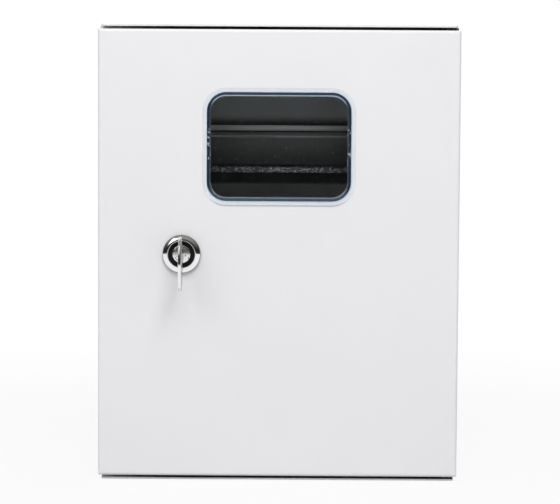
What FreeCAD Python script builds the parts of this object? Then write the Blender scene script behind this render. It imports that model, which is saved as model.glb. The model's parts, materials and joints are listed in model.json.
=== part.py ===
import FreeCAD, Part
import math
import os

V = FreeCAD.Vector

# Sheet-steel box for an electricity meter, with a hinged door, a clear window and a key lock.
# Millimetres, +Z up, front towards -Y, origin at the centre of the face that lies on the wall.

# Cabinet
cabinet_width = 250.0
cabinet_height = 316.4
overall_depth = 125.0  # wall to door face
sheet = 1.2
inner_bend = 0.8  # inside radius of the folds
door_gap = 2.0  # above and below the door
ledge_setback = 4.0  # the top and bottom walls stop this far behind the door face
ledge_corner = 3.0
end_flange = 14.0  # front flange above and below the opening
lip_corner = 8.0
wall_hole_r = 3.5
wall_hole_side = 33.0  # hole centre to the cabinet's side
wall_hole_end = 26.2  # hole centre to the cabinet's top or bottom
knockout_r = 11.0
knockout_pitch = 60.0
knockout_setback = 60.0  # from the wall
knockout_groove = 0.6
knockout_depth = 0.7

# Hinge
hinge_side = 8.0  # axis to the door's edge
hinge_depth = 8.5  # axis to the door's face
pin_r = 2.0
pin_reach = 7.0  # into the door
pin_tip = 0.6
spigot_r = 1.6
collar_r = 3.4
collar_gap = 0.2
bush_wall = 1.2
bush_length = 6.0
bush_flange = 1.2
bush_flange_r = 4.6
running_fit = 0.05
corner_clearance = 0.5  # swinging door corner to the front flange
rim_clearance = 1.5  # swinging door rim to the lip

# Door
door_rim = 16.0
weld_corner = 1.0
gasket_width = 10.0
gasket_thickness = 7.5
gasket_crown = 2.5
gasket_clearance = 0.3  # to the lip

# Window
window_width = 99.8
window_height = 75.2
window_corner = 13.4
window_drop = 80.6  # door's top edge to the window's centre
pane_lap = 2.9
pane_flange = 1.0
pane_edge = 0.5
pane_rise = 1.8  # raised middle in front of the door
pane_thickness = 2.6
pane_wall = 1.8
pane_skirt = 6.0  # behind the door's face
pane_clearance = 0.3
lug_length = 24.0
lug_reach = 1.2
lug_height = 3.2
lug_gap = 0.1

# Lock
lock_backset = 58.0  # axis to the door's free edge
bezel_r = 13.2
bezel_edge = 2.0  # height of the ring's outer wall
bezel_height = 4.4
bezel_crest = 9.9  # radius of the ring's highest line
bezel_mouth = 4.1  # height of the recess edge
recess_r = 9.2
recess_floor = 0.6
plug_r = 6.4
plug_proud = 4.4
plug_edge = 0.5
plug_crown = 0.7  # the plug's front is slightly domed
plug_shoulder = 4.0
plug_body_r = 5.6
barrel_r = 9.5
barrel_flats = 16.0
barrel_relief = 0.3
lock_washer_r = 13.0
lock_washer = 1.0
lock_nut_flats = 24.0
lock_nut = 4.0
tail_flats = 7.0
cam_clearance = 0.6  # to the back of the front flange
cam_overlap = 8.0  # behind the front flange
cam_width = 16.0
cam_tip = 5.0
cam_thickness = 2.5
cam_washer_r = 5.5
cam_washer = 1.0
cam_screw_r = 2.0
cam_screw_depth = 8.0
cam_head_r = 3.8
cam_head = 2.4

# Key
key_thickness = 2.2
key_width = 7.6
key_fit = 0.1
key_insert = 20.0  # behind the front of the plug
key_neck = 4.0  # front of the plug to the bow
bow_height = 37.6
bow_depth = 24.5
bow_drop = 5.5  # the bow's middle below the lock's axis
blade_root = 8.0  # blade inside the bow
groove_width = 1.6  # milled along both sides of the blade
groove_depth = 0.5
groove_stop = 1.2  # ends this far in front of the plug
groove_levels = (-1.3, 0.3)  # left and right, from the blade's middle
bow_hole_r = 3.6
bow_hole_edge = 7.5
bitting_depth = 1.4
bitting_pitch = 3.2
bitting_count = 5

# Device rails
rail_height = 35.0
rail_depth = 7.5
rail_web = 27.0
rail_thickness = 1.0
rail_bend = 0.5
rail_end = 25.0  # rail end to the cabinet's side
rail_drop = 88.5  # cabinet's top to the middle of the upper rail
rail_pitch = 106.0
rail_slot_width = 6.2
rail_slot_length = 18.0
rail_slot_end = 15.0
stud_r = 2.5
stud_length = 13.0
stud_washer_r = 5.0
stud_washer = 1.0
stud_nut_flats = 8.0
stud_nut = 4.0

# Terminal bars
bar_length = 82.0
bar_height = 9.0
bar_thickness = 6.5
bar_offset = 55.0  # bar centre to the cabinet's middle
bar_rise = 45.0  # bar centre to the cabinet's bottom
bar_ways = 6
bar_pitch = 9.5
wire_hole_r = 2.4
terminal_r = 2.0
terminal_head_r = 2.9
terminal_head = 2.2
terminal_bite = 3.0
driver_slot = 0.8
driver_depth = 1.0
post_width = 9.0
post_height = 14.0
post_foot = 28.0
post_foot_thickness = 3.0
post_stand = 16.0  # back wall to the bar
post_saddle = 3.0
post_corner = 2.0
rivet_r = 3.0
rivet_head = 1.4

# Earth studs
earth_r = 3.0
earth_length = 15.0
earth_washer_r = 6.25
earth_washer = 1.6
earth_nut_flats = 10.0
earth_nut = 5.0
earth_setback = 60.0  # cabinet stud to the wall
earth_rise = 38.0  # cabinet stud to the cabinet's bottom
door_earth_side = 45.0  # door stud to the hinge edge
door_earth_rise = 35.0  # door stud to the door's bottom

# Places worked out from the sizes above
half_width = cabinet_width / 2
half_height = cabinet_height / 2
outer_bend = inner_bend + sheet
door_half = half_height - sheet - door_gap
face_y = -overall_depth
door_back = face_y + sheet
rim_back = face_y + door_rim
hinge_x = half_width - hinge_side
hinge_y = face_y + hinge_depth
corner_sweep = math.hypot(hinge_side, hinge_depth)
rim_sweep = math.hypot(hinge_side, door_rim - hinge_depth)
flange_front = hinge_y + corner_sweep + corner_clearance
flange_back = flange_front + sheet
lip_x = hinge_x - rim_sweep - rim_clearance
lip_z = half_height - sheet - end_flange
gasket_back = door_back + gasket_thickness
lip_tip = gasket_back + gasket_clearance
wall_in = -sheet
bush_r = pin_r + running_fit + bush_wall
window_z = door_half - window_drop
lock_x = lock_backset - half_width
cam_front = flange_back + cam_clearance
cam_back = cam_front + cam_thickness
barrel_end = cam_front - barrel_relief
plug_front = face_y - plug_proud
key_end = plug_front + key_insert
rail_half = half_width - rail_end
rail_levels = (half_height - rail_drop, half_height - rail_drop - rail_pitch)
bar_z = bar_rise - half_height
bar_back = wall_in - post_stand


def rounded_wire(corners):
    # Closed wire through (point, radius) pairs, with each corner rounded to its radius
    starts, ends, middles = [], [], []
    for index, (point, radius) in enumerate(corners):
        back = (corners[index - 1][0] - point).normalize()
        ahead = (corners[(index + 1) % len(corners)][0] - point).normalize()
        half_angle = back.getAngle(ahead) / 2
        bisector = (back + ahead).normalize()
        starts.append(point + back * (radius / math.tan(half_angle)))
        ends.append(point + ahead * (radius / math.tan(half_angle)))
        middles.append(point + bisector * (radius / math.sin(half_angle) - radius))
    edges = []
    for index, (point, radius) in enumerate(corners):
        if radius > 0:
            edges.append(Part.Arc(starts[index], middles[index], ends[index]).toShape())
        edges.append(Part.makeLine(ends[index], starts[(index + 1) % len(corners)]))
    return Part.Wire(edges)


def prism(corners, reach):
    return Part.Face(rounded_wire(corners)).extrude(reach)


def slab(low, high, axis, radius):
    # Box between two corners, with its edges along one axis rounded
    size = high - low
    reach = {"x": V(size.x, 0, 0), "y": V(0, size.y, 0), "z": V(0, 0, size.z)}
    first, second = [reach[name] for name in "xyz" if name != axis]
    outline = (low, low + first, low + first + second, low + second)
    return prism([(point, radius) for point in outline], reach[axis])


def disc(radius, thickness, base, direction):
    return Part.makeCylinder(radius, thickness, base, direction)


def washer(radius, bore, thickness, base, direction):
    return disc(radius, thickness, base, direction).cut(disc(bore, thickness, base, direction))


def turned(profile, base):
    # Solid turned about an axis along Y; the profile holds edges in radius and distance ahead of base
    return Part.Face(Part.Wire(profile)).revolve(base, V(0, 1, 0), 360)


def hex_nut(flats, bore, thickness, base, direction):
    # Nut with its front corners turned off, seated on base
    across = flats / math.sqrt(3)
    turn = FreeCAD.Rotation(V(0, 0, 1), direction)
    outline = [V(across * math.cos(n * math.pi / 3), across * math.sin(n * math.pi / 3), 0) for n in range(6)]
    blank = prism([(base + turn.multVec(point), 0) for point in outline], direction * thickness)
    crown = Part.makeCone(across + thickness, across * 0.88, thickness * 1.6, base - direction * thickness * 0.6,
                          direction)
    return blank.common(crown).cut(disc(bore, thickness, base, direction))


def tub(inset, radius):
    # Closed body of the cabinet behind its front flange, or its inner faces when inset by a sheet
    low = V(inset - half_width, flange_front + inset, inset - half_height)
    high = V(half_width - inset, -inset, half_height - inset)
    ahead = V(0, 2 * radius, 0)
    body = slab(low, high, "y", radius).common(slab(low, high, "z", radius))
    return body.common(slab(low - ahead, high, "x", radius))


def opening_block(inset, front, back):
    # Block that fills the lip round the front opening, inset from the lip's outside
    low = V(inset - lip_x, front, inset - lip_z)
    high = V(lip_x - inset, back, lip_z - inset)
    return slab(low, high, "y", lip_corner - inset)


def ledge(side):
    # Top or bottom wall carried forward over the door
    reach = half_width - outer_bend
    front = face_y + ledge_setback
    level = side * half_height
    corners = [(V(-reach, flange_back, level), 0), (V(-reach, front, level), ledge_corner),
               (V(reach, front, level), ledge_corner), (V(reach, flange_back, level), 0)]
    spigot_hole = disc(spigot_r + running_fit, sheet, V(hinge_x, hinge_y, level), V(0, 0, -side))
    return prism(corners, V(0, 0, -side * sheet)).cut(spigot_hole)


def ring_edges(shape, plane_y, inset):
    # Edges of the loop where the lip, inset by a sheet or not, meets a plane of the flange
    reach = math.hypot(lip_x, lip_z)
    found = []
    for edge in shape.Edges:
        box = edge.BoundBox
        middle = edge.valueAt((edge.FirstParameter + edge.LastParameter) / 2)
        flat = abs(box.YMin - plane_y) < 0.01 and abs(box.YMax - plane_y) < 0.01
        side = max(abs(middle.x) - (lip_x - inset), abs(middle.z) - (lip_z - inset))
        on_loop = -0.35 * lip_corner < side < 0.01 and middle.Length < reach + overall_depth
        if flat and on_loop:
            found.append(edge)
    return found


def knockouts():
    rings = []
    for place in (-1, 0, 1):
        base = V(place * knockout_pitch, -knockout_setback, -half_height)
        rings.append(washer(knockout_r + knockout_groove, knockout_r, knockout_depth, base, V(0, 0, 1)))
    return rings


def wall_holes():
    across = half_width - wall_hole_side
    up = half_height - wall_hole_end
    places = [V(x, 0, z) for x in (-across, across) for z in (-up, up)]
    return [disc(wall_hole_r, sheet, place, V(0, -1, 0)) for place in places]


def cabinet_shell():
    # Folded and welded body: back, four walls, front flange and the lip turned forward round the opening
    shell = tub(0, outer_bend).cut(tub(sheet, inner_bend))
    shell = shell.fuse([opening_block(0, lip_tip, flange_back), ledge(1), ledge(-1)])
    shell = shell.cut(opening_block(sheet, lip_tip, flange_back)).removeSplitter()
    shell = shell.makeFillet(inner_bend, ring_edges(shell, flange_front, 0))
    shell = shell.makeFillet(outer_bend, ring_edges(shell, flange_back, sheet))
    return shell.cut(wall_holes() + knockouts())


def hinge_pin(side):
    # Shouldered pivot riveted into a ledge
    seat = V(hinge_x, hinge_y, side * (half_height - sheet))
    inward = V(0, 0, -side)
    spigot = disc(spigot_r, sheet, seat, inward * -1)
    collar = disc(collar_r, door_gap - collar_gap, seat, inward)
    pivot = disc(pin_r, door_gap + pin_reach - pin_tip, seat, inward)
    tip = Part.makeCone(pin_r, pin_r - pin_tip, pin_tip, seat + inward * (door_gap + pin_reach - pin_tip), inward)
    return spigot.fuse([collar, pivot, tip]).removeSplitter()


def hinge_bush(side):
    # Flanged nylon bush pressed into the door's rim from inside
    edge = V(hinge_x, hinge_y, side * door_half)
    inward = V(0, 0, -side)
    sleeve = disc(bush_r, bush_length, edge, inward)
    flange = disc(bush_flange_r, bush_flange, edge + inward * sheet, inward)
    return sleeve.fuse(flange).cut(disc(pin_r + running_fit, bush_length, edge, inward))


def pan(inset, bend, corner, back):
    # Door's folded tray, or its inner faces when inset by a sheet
    low = V(inset - half_width, face_y + inset, inset - door_half)
    high = V(half_width - inset, back, door_half - inset)
    behind = V(0, 2 * bend, 0)
    body = slab(low, high + behind, "x", bend).common(slab(low, high + behind, "z", bend))
    return body.common(slab(low, high, "y", corner))


def window_block(grow, front, back):
    low = V(-window_width / 2 - grow, front, window_z - window_height / 2 - grow)
    high = V(window_width / 2 + grow, back, window_z + window_height / 2 + grow)
    return slab(low, high, "y", window_corner + grow)


def lock_section(radius, flats, front, back):
    # Round bar on the lock's axis with two flats at its sides
    base = V(lock_x, front, 0)
    bar = disc(radius, back - front, base, V(0, 1, 0))
    keep = Part.makeBox(flats, back - front, 2 * radius, base - V(flats / 2, 0, radius))
    return bar.common(keep)


def door_panel():
    panel = pan(0, outer_bend, weld_corner, rim_back)
    panel = panel.cut(pan(sheet, inner_bend, 0, rim_back + sheet))
    holes = [window_block(0, face_y, door_back)]
    holes.append(lock_section(barrel_r + running_fit, barrel_flats + 2 * running_fit, face_y, door_back))
    for side in (-1, 1):
        edge = V(hinge_x, hinge_y, side * door_half)
        holes.append(disc(bush_r + running_fit, sheet, edge, V(0, 0, -side)))
    return panel.cut(holes)


def door_gasket():
    # Foam strip on the door that meets the lip's edge
    grow = gasket_width / 2
    rim = sheet / 2
    outer = opening_block(rim - grow, door_back, gasket_back)
    low = V(rim + grow - lip_x, door_back, rim + grow - lip_z)
    high = V(lip_x - rim - grow, gasket_back, lip_z - rim - grow)
    strip = outer.cut(slab(low, high, "y", max(lip_corner - rim - grow, gasket_crown / 2)))
    crown = [edge for edge in strip.Edges if edge.BoundBox.YMin > gasket_back - 0.01]
    return strip.makeFillet(gasket_crown, crown)


def pane_lug(side):
    # Ramped catch on the skirt that snaps behind the door's sheet
    root = side * (window_width / 2 - pane_clearance - pane_wall / 2)
    seat = side * (window_width / 2 - pane_clearance)
    tip = side * (window_width / 2 + lug_reach)
    front = door_back + lug_gap
    foot = window_z - lug_length / 2
    corners = (V(root, front, foot), V(tip, front, foot), V(seat, front + lug_height, foot),
               V(root, front + lug_height, foot))
    return prism([(corner, 0) for corner in corners], V(0, 0, lug_length))


def window_pane():
    # One clear moulding: flange on the door's face, raised middle, skirt through the opening
    flange = window_block(pane_lap, face_y - pane_flange, face_y)
    rim = [edge for edge in flange.Edges if edge.BoundBox.YMax < face_y - pane_flange + 0.01]
    flange = flange.makeFillet(pane_edge, rim)
    middle = window_block(-pane_clearance, face_y - pane_rise, face_y + pane_skirt)
    rim = [edge for edge in middle.Edges if edge.BoundBox.YMax < face_y - pane_rise + 0.01]
    middle = middle.makeChamfer(pane_rise - pane_flange, rim)
    hollow = window_block(-pane_clearance - pane_wall, face_y - pane_rise + pane_thickness, face_y + pane_skirt)
    return flange.fuse([middle, pane_lug(-1), pane_lug(1)]).cut(hollow).removeSplitter()


def lock_edges(points, base):
    # Edges through (radius, distance ahead of base) pairs; a three-pair entry is an arc
    edges = []
    for entry in points:
        places = [base + V(radius, -ahead, 0) for radius, ahead in entry]
        edges.append(Part.Arc(*places).toShape() if len(places) == 3 else Part.makeLine(*places))
    return edges


def lock_housing():
    # Plated bezel, threaded barrel and the bores that the plug turns in
    base = V(lock_x, face_y, 0)
    bore = plug_r + running_fit
    body_bore = plug_body_r + running_fit
    end = face_y - barrel_end
    inner_arc = (recess_r + 0.35 * (bezel_crest - recess_r), bezel_mouth + 0.72 * (bezel_height - bezel_mouth))
    outer_arc = (bezel_crest + 0.55 * (bezel_r - bezel_crest), bezel_edge + 0.62 * (bezel_height - bezel_edge))
    crest = (bezel_crest, bezel_height)
    outline = [((bore, recess_floor), (recess_r, recess_floor)),
               ((recess_r, recess_floor), (recess_r, bezel_mouth)),
               ((recess_r, bezel_mouth), inner_arc, crest),
               (crest, outer_arc, (bezel_r, bezel_edge)),
               ((bezel_r, bezel_edge), (bezel_r, 0)),
               ((bezel_r, 0), (barrel_r, 0)),
               ((barrel_r, 0), (barrel_r, end)),
               ((barrel_r, end), (body_bore, end)),
               ((body_bore, end), (body_bore, -plug_shoulder)),
               ((body_bore, -plug_shoulder), (bore, -plug_shoulder)),
               ((bore, -plug_shoulder), (bore, recess_floor))]
    housing = turned(lock_edges(outline, base), base)
    flats = lock_section(2 * bezel_r, barrel_flats, face_y, barrel_end)
    return housing.cut(disc(bezel_r, barrel_end - face_y, base, V(0, 1, 0)).cut(flats))


def blade_grooves(start, end, clearance):
    # Grooves along both sides of the blade, or, with a clearance, the ridges of the keyway that run in them
    height = groove_width - 2 * clearance
    inner = key_thickness / 2 - groove_depth / 2 + clearance
    boxes = []
    for middle, level in zip((lock_x - inner, lock_x + inner), groove_levels):
        boxes.append(Part.makeBox(groove_depth, end - start, height,
                                  V(middle - groove_depth / 2, start, level - height / 2)))
    return boxes


def lock_plug():
    # Turning plug with its keyway and the square tail that carries the cam
    base = V(lock_x, face_y, 0)
    end = face_y - cam_front
    face_r = plug_r - plug_edge
    rim = plug_proud - plug_crown
    outline = [((0, plug_proud), (face_r / 2, plug_proud - plug_crown / 4), (face_r, rim)),
               ((face_r, rim), (plug_r, rim - plug_edge)),
               ((plug_r, rim - plug_edge), (plug_r, running_fit - plug_shoulder)),
               ((plug_r, running_fit - plug_shoulder), (plug_body_r, running_fit - plug_shoulder)),
               ((plug_body_r, running_fit - plug_shoulder), (plug_body_r, end)),
               ((plug_body_r, end), (0, end)),
               ((0, end), (0, plug_proud))]
    plug = turned(lock_edges(outline, base), base)
    tail = Part.makeBox(tail_flats, cam_thickness - key_fit, tail_flats,
                        V(lock_x - tail_flats / 2, cam_front, -tail_flats / 2))
    slot_width = key_thickness + 2 * key_fit
    slot_height = key_width + 2 * key_fit
    keyway = Part.makeBox(slot_width, key_insert + key_fit, slot_height,
                          V(lock_x - slot_width / 2, plug_front, -slot_height / 2))
    keyway = keyway.cut(blade_grooves(plug_front, key_end + key_fit, key_fit))
    screw_hole = disc(cam_screw_r + running_fit, cam_screw_depth, V(lock_x, cam_back, 0), V(0, -1, 0))
    return plug.fuse(tail).cut([keyway, screw_hole])


def lock_cam():
    # Flat tongue that points down when the door is free
    reach = lip_x - sheet + lock_x + cam_overlap
    half = cam_width / 2
    corners = [(V(lock_x - half, cam_front, half), half * 0.98), (V(lock_x + half, cam_front, half), half * 0.98),
               (V(lock_x + half, cam_front, -reach), cam_tip), (V(lock_x - half, cam_front, -reach), cam_tip)]
    square = tail_flats + 2 * running_fit
    hole = Part.makeBox(square, cam_thickness, square, V(lock_x - square / 2, cam_front, -square / 2))
    return prism(corners, V(0, cam_thickness, 0)).cut(hole)


def cam_screw():
    seat = V(lock_x, cam_back + cam_washer, 0)
    shank = disc(cam_screw_r, cam_washer + cam_screw_depth - cam_screw_r, seat, V(0, -1, 0))
    head = disc(cam_head_r, cam_head, seat, V(0, 1, 0))
    rim = [edge for edge in head.Edges if edge.BoundBox.YMin > seat.y + cam_head - 0.01]
    head = head.makeChamfer(cam_head / 3, rim)
    slot = Part.makeBox(2 * cam_head_r, driver_depth, driver_slot,
                        seat + V(-cam_head_r, cam_head - driver_depth, -driver_slot / 2))
    return shank.fuse(head).cut(slot)


def key():
    # Flat key pushed home, with an oval bow that hangs a little lower than its blade
    left = lock_x - key_thickness / 2
    bow_back = plug_front - key_neck
    bow_front = bow_back - bow_depth
    half = key_width / 2
    oval = Part.Ellipse(V(0, 0, 0), bow_height / 2, bow_depth / 2).toShape()
    bow = Part.Face(Part.Wire(oval)).extrude(V(0, 0, key_thickness))
    bow.rotate(V(0, 0, 0), V(0, 1, 0), 90)
    bow.translate(V(left, bow_back - bow_depth / 2, -bow_drop))
    blade = Part.makeBox(key_thickness, key_end - bow_back + blade_root, key_width,
                         V(left, bow_back - blade_root, -half))
    ring_hole = disc(bow_hole_r, key_thickness, V(left, bow_front + bow_hole_edge, -bow_drop), V(1, 0, 0))
    cuts = [ring_hole] + blade_grooves(plug_front - groove_stop, key_end, 0)
    for step in range(bitting_count):
        middle = key_end - bitting_pitch * (step + 1)
        depth = bitting_depth * (1 if step % 2 else 0.6)
        notch = ((middle - bitting_pitch / 2, half), (middle, half - depth), (middle + bitting_pitch / 2, half))
        cuts.append(prism([(V(left, y, z), 0) for y, z in notch], V(key_thickness, 0, 0)))
    point = ((key_end, half), (key_end, 0), (key_end - half, half))
    cuts.append(prism([(V(left, y, z), 0) for y, z in point], V(key_thickness, 0, 0)))
    return bow.fuse(blade).cut(cuts).removeSplitter()


def rail_studs_x():
    return (rail_slot_end - rail_half, rail_half - rail_slot_end)


def din_rail(level):
    # Top-hat rail folded from strip, slotted near its ends for the weld studs
    back = wall_in
    front = wall_in - rail_depth
    lip = rail_height / 2
    web = rail_web / 2
    fold = rail_bend + rail_thickness
    inside = web - rail_thickness
    half = [(front, inside, fold), (front, lip, 0), (front + rail_thickness, lip, 0),
            (front + rail_thickness, web, rail_bend), (back, web, fold)]
    channel = (back - rail_thickness, inside, rail_bend)
    lower = [(y, -z, radius) for y, z, radius in reversed(half)]
    outline = [channel] + half + lower + [(channel[0], -channel[1], rail_bend)]
    corners = [(V(-rail_half, y, level + z), radius) for y, z, radius in outline]
    rail = prism(corners, V(2 * rail_half, 0, 0))
    slots = []
    for place in rail_studs_x():
        low = V(place - rail_slot_length / 2, back - rail_thickness, level - rail_slot_width / 2)
        high = V(place + rail_slot_length / 2, back, level + rail_slot_width / 2)
        slots.append(slab(low, high, "y", rail_slot_width * 0.499))
    return rail.cut(slots)


def rail_fixings():
    # Weld studs, washers and nuts that hold both rails on the back wall
    studs, washers, nuts = [], [], []
    outward = V(0, -1, 0)
    for level in rail_levels:
        for place in rail_studs_x():
            base = V(place, wall_in, level)
            seat = base + outward * rail_thickness
            studs.append(disc(stud_r, stud_length, base, outward))
            washers.append(washer(stud_washer_r, stud_r + running_fit, stud_washer, seat, outward))
            nuts.append(hex_nut(stud_nut_flats, stud_r + running_fit, stud_nut, seat + outward * stud_washer, outward))
    return studs, washers, nuts


def terminal_places(side):
    start = side * bar_offset - bar_pitch * (bar_ways - 1) / 2
    return [start + bar_pitch * step for step in range(bar_ways)]


def terminal_bar(side):
    # Brass bar drilled for the wires and for their clamping screws
    low = V(side * bar_offset - bar_length / 2, bar_back - bar_thickness, bar_z - bar_height / 2)
    bar = Part.makeBox(bar_length, bar_thickness, bar_height, low)
    holes = []
    for place in terminal_places(side):
        wire = V(place, bar_back - wire_hole_r - terminal_bite / 4, bar_z - bar_height / 2)
        holes.append(disc(wire_hole_r, bar_height, wire, V(0, 0, 1)))
        screw = V(place, bar_back - bar_thickness, bar_z)
        holes.append(disc(terminal_r + running_fit, bar_thickness - wire_hole_r, screw, V(0, 1, 0)))
    return bar.cut(holes)


def terminal_screws(side):
    screws = []
    for place in terminal_places(side):
        seat = V(place, bar_back - bar_thickness, bar_z)
        shank = disc(terminal_r, terminal_bite, seat, V(0, 1, 0))
        head = disc(terminal_head_r, terminal_head, seat, V(0, -1, 0))
        slot = Part.makeBox(2 * terminal_head_r, driver_depth, driver_slot,
                            seat - V(terminal_head_r, terminal_head, driver_slot / 2))
        screws.append(shank.fuse(head).cut(slot))
    return screws


def post_places(side):
    reach = (bar_length - post_width) / 2
    return (side * bar_offset - reach, side * bar_offset + reach)


def bar_posts(side):
    # Moulded stand-offs with a foot on the back wall and a saddle for the bar
    posts = []
    for place in post_places(side):
        left = place - post_width / 2
        foot_low = V(left, wall_in - post_foot_thickness, bar_z - post_foot / 2)
        foot_high = V(left + post_width, wall_in, bar_z + post_foot / 2)
        foot = slab(foot_low, foot_high, "y", post_corner)
        front = bar_back - post_saddle
        riser = slab(V(left, front, bar_z - post_height / 2), V(left + post_width, wall_in, bar_z + post_height / 2),
                     "y", post_corner)
        notch = bar_height + 2 * running_fit
        saddle = Part.makeBox(post_width, post_saddle, notch, V(left, front, bar_z - notch / 2))
        posts.append(foot.fuse(riser).cut(saddle).removeSplitter())
    return posts


def post_rivets():
    rivets = []
    rise = (post_foot + post_height) / 4
    for side in (-1, 1):
        for place in post_places(side):
            for up in (-rise, rise):
                seat = V(place, wall_in - post_foot_thickness, bar_z + up)
                head = disc(rivet_r, rivet_head, seat, V(0, -1, 0))
                rim = [edge for edge in head.Edges if edge.BoundBox.YMax < seat.y - rivet_head + 0.01]
                rivets.append(head.makeChamfer(rivet_head * 0.6, rim))
    return rivets


def earth_set(base, direction):
    # Weld stud with its washer and nut
    stud = disc(earth_r, earth_length, base, direction)
    ring = washer(earth_washer_r, earth_r + running_fit, earth_washer, base, direction)
    nut = hex_nut(earth_nut_flats, earth_r + running_fit, earth_nut, base + direction * earth_washer, direction)
    return stud, ring, nut


def main():
    studs, washers, nuts = rail_fixings()
    earth_base = V(half_width - sheet, -earth_setback, earth_rise - half_height)
    earth_stud, earth_ring, earth_hex = earth_set(earth_base, V(-1, 0, 0))
    door_base = V(half_width - door_earth_side, door_back, door_earth_rise - door_half)
    door_stud, door_ring, door_hex = earth_set(door_base, V(0, 1, 0))
    lock_seat = V(lock_x, door_back, 0)
    nut_seat = V(lock_x, door_back + lock_washer, 0)
    inward = V(0, 1, 0)
    nodes = {
        "cabinet_shell": cabinet_shell(),
        "hinge_pin_top": hinge_pin(1),
        "hinge_pin_bottom": hinge_pin(-1),
        "upper_rail": din_rail(rail_levels[0]),
        "lower_rail": din_rail(rail_levels[1]),
        "rail_studs": Part.makeCompound(studs),
        "rail_washers": Part.makeCompound(washers),
        "rail_nuts": Part.makeCompound(nuts),
        "neutral_bar": terminal_bar(-1),
        "neutral_posts": Part.makeCompound(bar_posts(-1)),
        "neutral_screws": Part.makeCompound(terminal_screws(-1)),
        "earth_bar": terminal_bar(1),
        "earth_posts": Part.makeCompound(bar_posts(1)),
        "earth_screws": Part.makeCompound(terminal_screws(1)),
        "post_rivets": Part.makeCompound(post_rivets()),
        "earth_stud": earth_stud,
        "earth_washer": earth_ring,
        "earth_nut": earth_hex,
        "door_panel": door_panel(),
        "door_gasket": door_gasket(),
        "window_pane": window_pane(),
        "hinge_bush_top": hinge_bush(1),
        "hinge_bush_bottom": hinge_bush(-1),
        "lock_housing": lock_housing(),
        "lock_washer": washer(lock_washer_r, barrel_r + running_fit, lock_washer, lock_seat, inward),
        "lock_nut": hex_nut(lock_nut_flats, barrel_r + running_fit, lock_nut, nut_seat, inward),
        "door_earth_stud": door_stud,
        "door_earth_washer": door_ring,
        "door_earth_nut": door_hex,
        "lock_plug": lock_plug(),
        "lock_cam": lock_cam(),
        "cam_washer": washer(cam_washer_r, cam_screw_r + running_fit, cam_washer, V(lock_x, cam_back, 0), inward),
        "cam_screw": cam_screw(),
        "key": key(),
    }
    os.makedirs("parts", exist_ok=True)
    for name, shape in nodes.items():
        shape.exportStep("parts/" + name + ".step")
        print(name, len(shape.Solids), "solids", round(shape.Volume, 1), "mm3", "valid" if shape.isValid() else "BAD")


main()
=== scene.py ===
import json
import math

import bmesh
import bpy
from mathutils import Matrix, Quaternion, Vector, noise


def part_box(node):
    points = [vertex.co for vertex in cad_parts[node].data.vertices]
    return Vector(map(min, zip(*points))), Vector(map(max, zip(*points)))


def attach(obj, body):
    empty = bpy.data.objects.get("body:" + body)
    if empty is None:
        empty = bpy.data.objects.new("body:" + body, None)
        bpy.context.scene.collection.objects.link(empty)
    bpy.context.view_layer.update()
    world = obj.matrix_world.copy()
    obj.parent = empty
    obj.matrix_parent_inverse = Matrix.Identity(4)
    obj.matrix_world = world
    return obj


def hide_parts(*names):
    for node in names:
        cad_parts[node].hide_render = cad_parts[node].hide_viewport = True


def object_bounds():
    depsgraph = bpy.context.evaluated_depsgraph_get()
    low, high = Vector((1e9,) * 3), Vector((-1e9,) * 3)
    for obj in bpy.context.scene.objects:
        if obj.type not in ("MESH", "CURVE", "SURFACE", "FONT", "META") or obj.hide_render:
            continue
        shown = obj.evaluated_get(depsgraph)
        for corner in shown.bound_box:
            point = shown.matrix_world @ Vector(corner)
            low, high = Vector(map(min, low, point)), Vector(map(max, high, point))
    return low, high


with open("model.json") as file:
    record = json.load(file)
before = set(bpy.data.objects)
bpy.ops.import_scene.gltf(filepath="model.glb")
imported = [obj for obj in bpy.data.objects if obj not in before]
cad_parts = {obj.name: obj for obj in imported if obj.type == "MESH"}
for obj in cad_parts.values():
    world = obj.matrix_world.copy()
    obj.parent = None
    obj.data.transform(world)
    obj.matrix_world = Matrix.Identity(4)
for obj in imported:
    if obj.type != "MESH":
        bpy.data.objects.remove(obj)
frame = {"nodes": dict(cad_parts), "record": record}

cadLow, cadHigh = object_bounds()
nodes = frame["nodes"]
record = frame["record"]
nodeBody = {node: body for body, members in record["behaviour"]["bodies"].items() for node in members}
nodeSlot = {part["node"]: part["material_slot"] for part in record["subparts"]}
scene = bpy.context.scene
mm = 0.001
print("frame loaded:", len(nodes), "nodes")


def middleOf(node):
    low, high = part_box(node)
    return (low + high) / 2


# Shader maths

class Wire:  # a socket that can be added, taken away and multiplied
    def __init__(self, finish, socket):
        self.finish = finish
        self.socket = socket

    def maths(self, operation, *terms):
        return self.finish.add("ShaderNodeMath", {"operation": operation}, dict(enumerate(terms)))

    def __add__(self, other):
        return self.maths("ADD", self, other)

    def __radd__(self, other):
        return self.maths("ADD", other, self)

    def __sub__(self, other):
        return self.maths("SUBTRACT", self, other)

    def __rsub__(self, other):
        return self.maths("SUBTRACT", other, self)

    def __mul__(self, other):
        return self.maths("MULTIPLY", self, other)

    def __rmul__(self, other):
        return self.maths("MULTIPLY", other, self)

    def __abs__(self):
        return self.maths("ABSOLUTE", self)


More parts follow.
